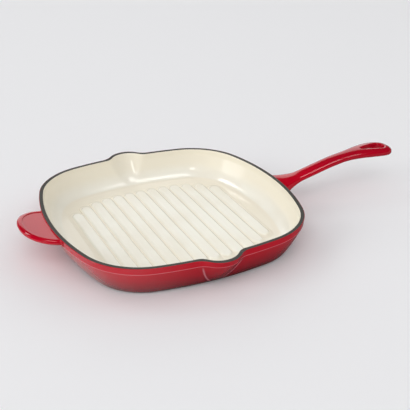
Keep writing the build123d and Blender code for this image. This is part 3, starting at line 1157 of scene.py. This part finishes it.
@dataclass
class LongHandle:
    """Red coat on the long handle: a bar that rises from the wall, bends over and ends round a teardrop."""

    form: PanForm
    finishes: dict[Slot, bpy.types.Material]
    length: float = 152.65
    root_height: float = 25.0
    rise: float = math.radians(14.1)
    straight: float = 60.7
    bend_radius: float = 232.0
    root_half_width: float = 29.0
    neck_half_width: float = 9.4
    end_half_width: float = 16.2
    flare: float = 32.0
    root_thickness: float = 18.0
    neck_thickness: float = 7.6
    end_thickness: float = 10.0
    neck_from: float = 84.0
    widest_at: float = 133.0
    end_round: float = 18.6
    section_power: float = 2.5
    round_power: float = 2.2
    hole_end_gap: float = 9.2
    hole_length: float = 30.6
    hole_radius: float = 7.1
    hole_point_radius: float = 1.7
    hole_round: float = 2.0
    hole_least: float = 0.2  # least half thickness left by the rounding at the hole
    root_fillet: float = 2.2
    rim_room: float = 0.9  # the root's rounding stays this far under the rim
    sunk: float = 0.04  # and lies this far into the wall's coat
    inside_share: float = 0.9  # size of the root's end inside the wall
    inside_depths: Flat = (1.6, 3.2)  # how far its ring and its tip lie in the wall
    head_from: float = 106.0  # run where the plain bar ends and the head with the hole begins
    around: int = 96

    def centre_height(self, run: float) -> float:
        """Height of the centre line at a run from the side of the rim.

        Args:
            run: Distance from the side of the rim along the handle.

        Returns:
            The height above the underside.
        """
        if run <= self.straight:
            return self.root_height + math.tan(self.rise) * run
        bend_run = run - self.straight - self.bend_radius * math.sin(self.rise)
        top = self.root_height + math.tan(self.rise) * self.straight + self.bend_radius * (1.0 - math.cos(self.rise))
        return top - self.bend_radius + math.sqrt(self.bend_radius ** 2 - bend_run ** 2)

    def end_share(self, run: float, length: float) -> float:
        """Share of the full size left in the rounded end."""
        into = clamp((run - (self.length - length)) / length)
        return math.sqrt(max(1.0 - into ** self.round_power, 0.0))

    def widened(self, run: float) -> float:
        """Share of the way from the neck's size to the end's."""
        return ease((run - self.neck_from) / (self.widest_at - self.neck_from))

    def half_width(self, run: float) -> float:
        """Half width at a run from the side of the rim.

        Args:
            run: Distance from the side of the rim along the handle.

        Returns:
            The half width, zero at the tip.
        """
        half = self.neck_half_width + (self.end_half_width - self.neck_half_width) * self.widened(run)
        into = clamp(1.0 - run / self.flare)
        half += (self.root_half_width - self.neck_half_width) * (1.0 - math.sqrt(1.0 - into * into))
        return half * self.end_share(run, self.end_round)

    def half_thickness(self, run: float) -> float:
        """Half thickness at a run from the side of the rim.

        Args:
            run: Distance from the side of the rim along the handle.

        Returns:
            The half thickness, zero at the tip.
        """
        thick = self.neck_thickness + (self.end_thickness - self.neck_thickness) * self.widened(run)
        thick += (self.root_thickness - self.neck_thickness) * (1.0 - ease(run / self.flare))
        return thick / 2.0 * self.end_share(run, self.end_round / 2.0)

    def bar_point(self, run: float, index: int) -> Solid:
        """Point of the bar's surface.

        Args:
            run: Distance from the side of the rim along the handle.
            index: Number of the point round the section.

        Returns:
            The point in the pan's frame.
        """
        turn = 2.0 * math.pi * index / self.around
        across = self.half_width(run) * power(math.cos(turn), 2.0 / self.section_power)
        up = self.half_thickness(run) * power(math.sin(turn), 2.0 / self.section_power)
        return (self.form.half_width + run, across, self.centre_height(run) + up)

    def outward(self, run: float, index: int) -> Flat:
        """Direction square to the section, in the plane across the handle.

        Args:
            run: Distance from the side of the rim along the handle.
            index: Number of the point round the section.

        Returns:
            Its parts along Y and Z, of length 1.
        """
        _, before_y, before_z = self.bar_point(run, index - 1)
        _, after_y, after_z = self.bar_point(run, index + 1)
        along_y, along_z = after_y - before_y, after_z - before_z
        size = math.hypot(along_y, along_z) or 1.0
        return (along_z / size, -along_y / size)

    def root_run(self, index: int) -> float:
        """Run at which one line along the bar meets the wall.

        Args:
            index: Number of the point round the section.

        Returns:
            The run, negative inside the rim's outline.
        """
        run = 0.0
        for _ in range(12):
            _, y, z = self.bar_point(run, index)
            run = self.form.wall_face(y, z) - self.form.half_width
        return run

    def root_rows(self) -> list[Row]:
        """Rows from inside the wall through the root's rounding to the start of the bar.

        Returns:
            The rows, from the innermost one outwards.
        """
        inside: Row = []
        turns = steps(0.0, QUARTER, 7)
        rounded: list[Row] = [[] for _ in turns]
        for index in range(self.around):
            meet = self.root_run(index)
            x, y, z = self.bar_point(meet, index)
            out_y, out_z = self.outward(meet, index)
            room = self.form.rim_height - self.rim_room - z
            radius = min(self.root_fillet, room / out_z) if out_z > 0.05 else self.root_fillet
            inside.append((x - self.inside_depths[0], y * self.inside_share,
                           self.root_height + (z - self.root_height) * self.inside_share))
            for row, turn in zip(rounded, turns):
                away = radius * (1.0 - math.sin(turn))
                _, bar_y, bar_z = self.bar_point(meet + radius * (1.0 - math.cos(turn)), index)
                spot_y, spot_z = bar_y + out_y * away, bar_z + out_z * away
                face = self.form.wall_face(spot_y, spot_z)
                row.append((face + radius * (1.0 - math.cos(turn)) - self.sunk, spot_y, spot_z))
        return [inside] + rounded

    def hole_place(self, turn: float) -> Flat:
        """Point of the teardrop on a ray from its middle.

        Args:
            turn: Direction of the ray, 0 towards the tip.

        Returns:
            The point in plan.
        """
        big, small, lean = self.hole_parts()
        middle = (big + small) / 2.0
        low, high = 0.0, self.hole_length
        for _ in range(40):
            reach = (low + high) / 2.0
            spot = (middle + reach * math.cos(turn), reach * math.sin(turn))
            if self.hole_distance(spot, big, small, lean) > 0.0:
                high = reach
            else:
                low = reach
        return (middle + low * math.cos(turn), low * math.sin(turn))

    def hole_parts(self) -> tuple[float, float, float]:
        """Centres of the teardrop's two circles along X, and the lean of its straight sides.

        Returns:
            X of the large circle, X of the small one and the lean in radians.
        """
        end = self.form.half_width + self.length - self.hole_end_gap
        big = end - self.hole_radius
        small = end - self.hole_length + self.hole_point_radius
        return big, small, math.asin((self.hole_radius - self.hole_point_radius) / (big - small))

    def hole_distance(self, spot: Flat, big: float, small: float, lean: float) -> float:
        """Distance of a place from the teardrop's edge, negative inside it.

        Args:
            spot: The place in plan.
            big: X of the large circle's centre.
            small: X of the small circle's centre.
            lean: Lean of the straight sides, in radians.

        Returns:
            The distance.
        """
        x, y = spot[0], abs(spot[1])
        tangent_length = (big - small) * math.cos(lean)
        start = (small - math.sin(lean) * self.hole_point_radius, math.cos(lean) * self.hole_point_radius)
        side = (x - start[0]) * -math.sin(lean) + (y - start[1]) * math.cos(lean)
        run = (x - start[0]) * math.cos(lean) + (y - start[1]) * math.sin(lean)
        if run < 0.0:
            return math.hypot(x - small, y) - self.hole_point_radius
        if run > tangent_length:
            return math.hypot(x - big, y) - self.hole_radius
        return side

    def head_height(self, x: float, y: float, side: int) -> float:
        """Height of the head's upper or lower face.

        Args:
            x: Place along X.
            y: Place along Y.
            side: 1 for the upper face, -1 for the lower.

        Returns:
            The height above the underside.
        """
        run = x - self.form.half_width
        half = max(self.half_width(run), TINY)
        share = clamp(abs(y) / half)
        up = self.half_thickness(run) * (1.0 - share ** self.section_power) ** (1.0 / self.section_power)
        gap = self.hole_distance((x, y), *self.hole_parts())
        if gap < self.hole_round:
            into = clamp(self.hole_round - gap, 0.0, self.hole_round)
            roll = self.hole_round - math.sqrt(max(self.hole_round ** 2 - into ** 2, 0.0))
            up = max(up - roll, self.hole_least)
        return self.centre_height(run) + side * up

    def head_rim(self) -> list[Flat]:
        """Plan of the head's outer edge, from one corner of the cut round the tip to the other.

        Returns:
            The points in plan.
        """
        last = self.length - self.end_round
        widest = self.half_width(last)
        spots = [(run, self.half_width(run)) for run in steps(self.head_from, last, 16)]
        for turn in steps(0.0, QUARTER, 22)[1:-1]:
            run = last + self.end_round * math.sin(turn) ** (2.0 / self.round_power)
            half = widest * math.cos(turn)
            if run < self.length - TINY:
                half *= self.half_width(run) / max(widest * self.end_share(run, self.end_round), TINY)
            spots.append((run, half))
        spots.append((self.length, 0.0))
        near = [(self.form.half_width + run, -half) for run, half in spots]
        far = [(self.form.half_width + run, half) for run, half in reversed(spots[:-1])]
        return near + far

    def build(self) -> bpy.types.Object:
        """Make the handle as one closed mesh.

        Returns:
            The new object.
        """
        rows = MeshRows()
        root = self.root_rows()
        from_wall = [point[0] - self.form.half_width for point in root[-1]]
        start = max(from_wall) + 0.6
        flared = [[self.bar_point(run + (start - run) * share, index) for index, run in enumerate(from_wall)]
                  for share in steps(0.0, 1.0, 16)[1:-1]]
        runs = [start + (self.head_from - start) * share
                for share in [ease(value) * 0.25 + value * 0.75 for value in steps(0.0, 1.0, 64)]]
        body = [[self.bar_point(run, index) for index in range(self.around)] for run in runs]
        rings = rows.loft(root + flared + body)
        rows.fan(rings[0], (self.form.half_width - self.inside_depths[1], 0.0, self.root_height))
        self.head(rows, rings[-1])
        return dress(rows.build("red_coat_on_long_handle", 50.0), self.finishes, Slot.RED, "red_enamel_long_handle")

    def head(self, rows: MeshRows, cut: list[int]) -> None:
        """Add the head with its hole to the end of the bar.

        Args:
            rows: The mesh so far.
            cut: Indices of the bar's last ring.
        """
        half = self.around // 2
        rim = self.head_rim()
        middle = sum(self.hole_parts()[:2]) / 2.0
        shares = [0.0, 0.01, 0.03, 0.06, 0.1]  # close together at the hole
        shares += [share for share in (math.sin(value * QUARTER) for value in steps(0.0, 1.0, 14)) if share > 0.13]
        walls: dict[int, list[int]] = {}  # the ring round the hole on the upper and the lower face
        edge = rows.row([(x, y, self.centre_height(x - self.form.half_width)) for x, y in rim[1:-1]])
        for side in (1, -1):
            outer_ids = [cut[side * index % self.around] for index in range(half + 1)] + edge
            outer = [rows.points[index] for index in outer_ids]
            inner = [self.hole_place(math.atan2(y, x - middle)) for x, y, _ in outer]
            layers = []
            for share in shares[:-1]:
                layer = []
                for (x, y, _), (hole_x, hole_y) in zip(outer, inner):
                    spot_x, spot_y = hole_x + (x - hole_x) * share, hole_y + (y - hole_y) * share
                    layer.append((spot_x, spot_y, self.head_height(spot_x, spot_y, side)))
                layers.append(rows.row(layer))
            layers.append(outer_ids)
            rows.join(layers)
            walls[side] = layers[0]
        upper, lower = walls[1], walls[-1]
        between = [rows.row([tuple(a + (b - a) * share for a, b in zip(rows.points[one], rows.points[other]))
                             for one, other in zip(upper, lower)]) for share in steps(0.0, 1.0, 6)[1:-1]]
        rows.join([upper, *between, lower])


@dataclass
class HelperHandle:
    """Red coat on the helper handle: a half-round tab with a low lip that rises outwards."""

    form: PanForm
    finishes: dict[Slot, bpy.types.Material]
    reach: float = 29.6
    half_width: float = 37.0
    centre_inset: float = 4.2
    rise: float = math.radians(11.9)
    drop: float = 0.2
    thickness: float = 5.0
    lip_width: float = 5.0
    rest_depth: float = 0.7
    rest_insets: tuple[float, ...] = (26.0, 22.0, 18.0, 14.0, 11.0, 8.5, 6.8)  # rows of the rest, then the underside
    under_insets: tuple[float, ...] = (4.0, 8.0, 14.0, 20.0, 25.0)
    edge_radius: float = 2.2
    lip_fall: Flat = (4.5, 2.5)  # rounding of the lip outwards, across and down
    outline_power: float = 2.2
    root_fillet: float = 1.6
    rim_room: float = 0.3  # the root's rounding stays this far under the rim
    tail: float = 3.0  # every line goes on this far into the wall
    along: int = 120

    @property
    def tail_x(self) -> float:
        """Place along X where the tab ends inside the wall."""
        return -(self.form.half_width - self.tail)

    def profile(self) -> list[Flat]:
        """Draw-in from the tab's edge and height, from the rest over the lip to the underside.

        Returns:
            Draw-in and height of each line, the height measured from the lip's flat.
        """
        rest = -self.rest_depth
        half = self.rest_depth / 2.0
        turns = steps(0.0, QUARTER, 5)
        rows = [(inset, rest) for inset in (self.reach, *self.rest_insets)]
        for turn in turns:
            rows.append((self.lip_width + half * (1.0 - math.sin(turn)), rest + half * (1.0 - math.cos(turn))))
        for turn in turns[1:]:
            rows.append((self.lip_width - half * (1.0 - math.cos(turn)), rest + half + half * math.sin(turn)))
        across, down = self.lip_fall
        for turn in steps(0.0, QUARTER, 10):
            rows.append((across * (1.0 - math.sin(turn)), -down * (1.0 - math.cos(turn))))
        for turn in steps(QUARTER, 0.0, 8):
            inset = self.edge_radius * (1.0 - math.sin(turn))
            rows.append((inset, self.edge_radius * (1.0 - math.cos(turn)) - self.thickness))
        rows += [(inset, -self.thickness) for inset in (*self.under_insets, self.reach)]
        return rows

    def spot(self, inset: float, height: float, turn: float) -> Solid:
        """Point of the tab, turned up about the line where it leaves the wall.

        Args:
            inset: Draw-in from the edge of the tab.
            height: Height above the lip's flat.
            turn: Angle round the outline, 0 at its far end.

        Returns:
            The point in the pan's frame.
        """
        bend = 2.0 / self.outline_power
        out = (self.reach + self.centre_inset - inset) * power(math.cos(turn), bend) - self.centre_inset
        y = (self.half_width - inset) * power(math.sin(turn), bend)
        x = -self.form.half_width - out * math.cos(self.rise) + height * math.sin(self.rise)
        z = self.form.rim_height - self.drop + out * math.sin(self.rise) + height * math.cos(self.rise)
        return (x, y, z)

    def gap(self, spot: Solid) -> float:
        """How far a point stands off the wall."""
        return -spot[0] - self.form.wall_face(spot[1], spot[2])

    def line(self, inset: float, height: float, lift: Flat) -> Row:
        """One line of the tab from wall to wall.

        Args:
            inset: Draw-in from the edge of the tab.
            height: Height above the lip's flat.
            lift: How the line spreads at its ends, outwards in plan and upwards.

        Returns:
            Points from one end to the other, the outer ones inside the wall.
        """
        low, high = 0.0, math.pi * 0.7
        for _ in range(30):
            middle = (low + high) / 2.0
            if self.gap(self.spot(inset, height, middle)) > 0.0:
                low = middle
            else:
                high = middle
        points: Row = []
        for share in steps(-1.0, 1.0, self.along):
            x, y, z = self.spot(inset, height, math.sin(share * QUARTER) * low)
            into = clamp(self.root_fillet - self.gap((x, y, z)), 0.0, self.root_fillet)
            spread = self.root_fillet - math.sqrt(max(self.root_fillet ** 2 - into ** 2, 0.0))
            points.append((x, y + math.copysign(lift[0] * spread, y), z + lift[1] * spread))
        return [(self.tail_x, *points[0][1:])] + points + [(self.tail_x, *points[-1][1:])]

    def build(self) -> bpy.types.Object:
        """Make the tab as one closed mesh.

        Returns:
            The new object.
        """
        rows = MeshRows()
        profile = self.profile()
        lines = []
        for index, (inset, height) in enumerate(profile):
            before = profile[max(index - 1, 0)]
            after = profile[min(index + 1, len(profile) - 1)]
            run_in, run_up = after[0] - before[0], after[1] - before[1]
            size = math.hypot(run_in, run_up)
            up = -run_in / size
            if up > 0.0:
                up *= (self.drop - height - self.rim_room) / self.root_fillet
            lines.append(rows.row(self.line(inset, height, (abs(run_up) / size, up))))
        first, last = (rows.row([(self.tail_x, *rows.points[index][1:]) for index in line])
                       for line in (lines[0], lines[-1]))
        lines = [first, *lines, last]
        rows.join([*lines, first], closed=False)
        middle_z = self.form.rim_height - self.drop - self.thickness / 2.0
        for end in ([line[0] for line in lines], [line[-1] for line in lines]):
            rows.fan(end, (self.tail_x, rows.points[end[0]][1] * 0.5, middle_z))
        return dress(rows.build("red_coat_on_helper_handle", 50.0), self.finishes, Slot.RED,
                     "red_enamel_helper_handle")


@dataclass(frozen=True)
class Softbox:
    """A far softbox that faces the pan: its direction and spread in degrees, and its brightness.

    A fill lights without being mirrored, and a window is mirrored in the glass without lighting.
    """

    name: str
    azimuth: float
    elevation: float
    wide: float
    high: float
    radiance: float
    fill: bool = True
    window: bool = True
    distance: float = 8.0

    def build(self) -> None:
        """Make the lamp, with the power that gives its brightness."""
        lamp = bpy.data.lights.new(self.name, "AREA")
        lamp.shape = "RECTANGLE"
        lamp.size = 2.0 * self.distance * math.tan(math.radians(self.wide) / 2.0)
        lamp.size_y = 2.0 * self.distance * math.tan(math.radians(self.high) / 2.0)
        lamp.energy = self.radiance * math.pi * lamp.size * lamp.size_y
        stand = bpy.data.objects.new(self.name, lamp)
        round_about, up = math.radians(self.azimuth), math.radians(self.elevation)
        level = self.distance * math.cos(up)
        stand.location = (level * math.cos(round_about), level * math.sin(round_about), self.distance * math.sin(up))
        stand.rotation_euler = (-stand.location).to_track_quat("-Z", "Y").to_euler()
        stand.visible_diffuse = self.fill
        stand.visible_glossy = self.window
        bpy.context.scene.collection.objects.link(stand)


@dataclass
class Studio:
    """Pale floor, soft lamps and the camera at the photograph's angle."""

    azimuth: float = math.radians(-25.52)
    elevation: float = math.radians(26.58)
    distance_mm: float = 946.8
    target_mm: Solid = (60.92, 38.47, 0.0)
    lens_mm: float = 73.087
    floor_half: float = 6.0
    floor_drop: float = 0.00005  # the floor lies this far under the base, so that the two don't meet
    dome_strength: float = 0.46
    horizon_up: Flat = (0.05, 0.25)  # the horizon's glow fades between these heights of a direction
    horizon_strength: float = 0.5  # what the glass mirrors at the horizon
    ceiling_strength: float = 0.02  # and overhead
    seen_strength: float = 0.83  # what the camera sees beyond the floor
    lamps: tuple[Softbox, ...] = (
        Softbox("left_fill", 185.0, 25.0, 30.0, 24.0, 3.7, window=False),
        Softbox("key_fill", 122.0, 42.0, 26.0, 20.0, 1.4, window=False),
        Softbox("front_fill", -115.0, 46.0, 50.0, 34.0, 1.9, window=False),
        Softbox("right_fill", -10.0, 30.0, 30.0, 24.0, 1.2, window=False),
        Softbox("back_window", 70.0, 17.0, 48.0, 28.0, 1.2),
        Softbox("key_window", 110.0, 50.0, 12.0, 9.0, 9.0, fill=False),
        Softbox("top_window", 5.0, 78.0, 18.0, 17.0, 5.0, fill=False),
        Softbox("front_window", -119.0, 54.0, 8.0, 16.0, 6.0, fill=False),
        Softbox("left_window", 160.0, 20.0, 26.0, 22.0, 2.5, fill=False),
    )

    def camera(self) -> None:
        """Place the camera."""
        lens = bpy.data.cameras.new("camera")
        lens.lens = self.lens_mm
        lens.sensor_width = 36.0
        lens.clip_start = 0.01
        lens.clip_end = 100.0
        camera = bpy.data.objects.new("camera", lens)
        back = Vector((
            math.sin(self.azimuth) * math.cos(self.elevation),
            -math.cos(self.azimuth) * math.cos(self.elevation),
            math.sin(self.elevation),
        ))
        camera.location = (Vector(self.target_mm) + back * self.distance_mm) * MM
        camera.rotation_euler = (-back).to_track_quat("-Z", "Y").to_euler()
        bpy.context.scene.collection.objects.link(camera)
        bpy.context.scene.camera = camera

    def floor(self) -> None:
        """Lay the floor."""
        half, level = self.floor_half, -self.floor_drop
        mesh = bpy.data.meshes.new("studio_floor")
        corners = ((-half, -half), (half, -half), (half, half), (-half, half))
        mesh.from_pydata([(x, y, level) for x, y in corners], [], [(0, 1, 2, 3)])
        mesh.materials.append(StudioPaper().build())
        floor = bpy.data.objects.new("studio_floor", mesh)
        bpy.context.scene.collection.objects.link(floor)

    def world(self) -> None:
        """Light the pan evenly from all round, and let its glass mirror a dark room with a pale horizon."""
        world = bpy.data.worlds.new("studio")
        world.use_nodes = True
        tree = world.node_tree
        tree.nodes.clear()
        direction = add_node(tree, "ShaderNodeTexCoord").outputs["Generated"]
        nodes = Nodes(tree)
        room = nodes.share(nodes.parts(direction)["Z"], *self.horizon_up, self.horizon_strength,
                           self.ceiling_strength)
        ray = add_node(tree, "ShaderNodeLightPath").outputs
        strength = nodes.blend(ray["Is Glossy Ray"], self.dome_strength, room)
        seen = nodes.blend(ray["Is Camera Ray"], strength, self.seen_strength)
        light = add_node(tree, "ShaderNodeBackground", inputs={"Color": linear("#FFFFFF"), "Strength": seen})
        add_node(tree, "ShaderNodeOutputWorld", inputs={"Surface": light.outputs[0]})
        bpy.context.scene.world = world

    def build(self) -> None:
        """Set up the whole studio."""
        self.camera()
        self.floor()
        self.world()
        for lamp in self.lamps:
            lamp.build()
        bpy.context.scene.view_settings.view_transform = "Standard"


def main() -> None:
    """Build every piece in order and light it."""
    logging.basicConfig(level=logging.INFO, format="%(name)s: %(message)s")
    finishes = {
        Slot.IRON: CastIron().build(),
        Slot.GROUND: GroundCoat().build(),
        Slot.CREAM: CreamEnamel().build(),
        Slot.RED: RedEnamel().build(),
    }
    form = PanForm()
    # The wall's red carries a painted highlight line along the ledge under the band.
    wall_red = RedEnamel("red_vitreous_enamel_gloss_on_wall", highlight_line_mm=form.lip_bottom + 0.2)
    body = PanBody(form, finishes, wall_red.build())
    makers: list[Callable[[], bpy.types.Object]] = [
        body.base,
        body.red_wall,
        body.cream_inside,
        body.rim,
        CookingRibs(form, finishes).build,
        LongHandle(form, finishes).build,
        HelperHandle(form, finishes).build,
    ]
    for make in makers:
        piece = make()
        log.info("%s: %d faces", piece.name, len(piece.data.polygons))
    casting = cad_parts["iron_casting"]
    casting.data.materials.clear()
    casting.data.materials.append(finishes[Slot.IRON])
    log.info("%s: cast iron under the coats", casting.name)
    Studio().build()


if __name__ == "__main__":
    main()
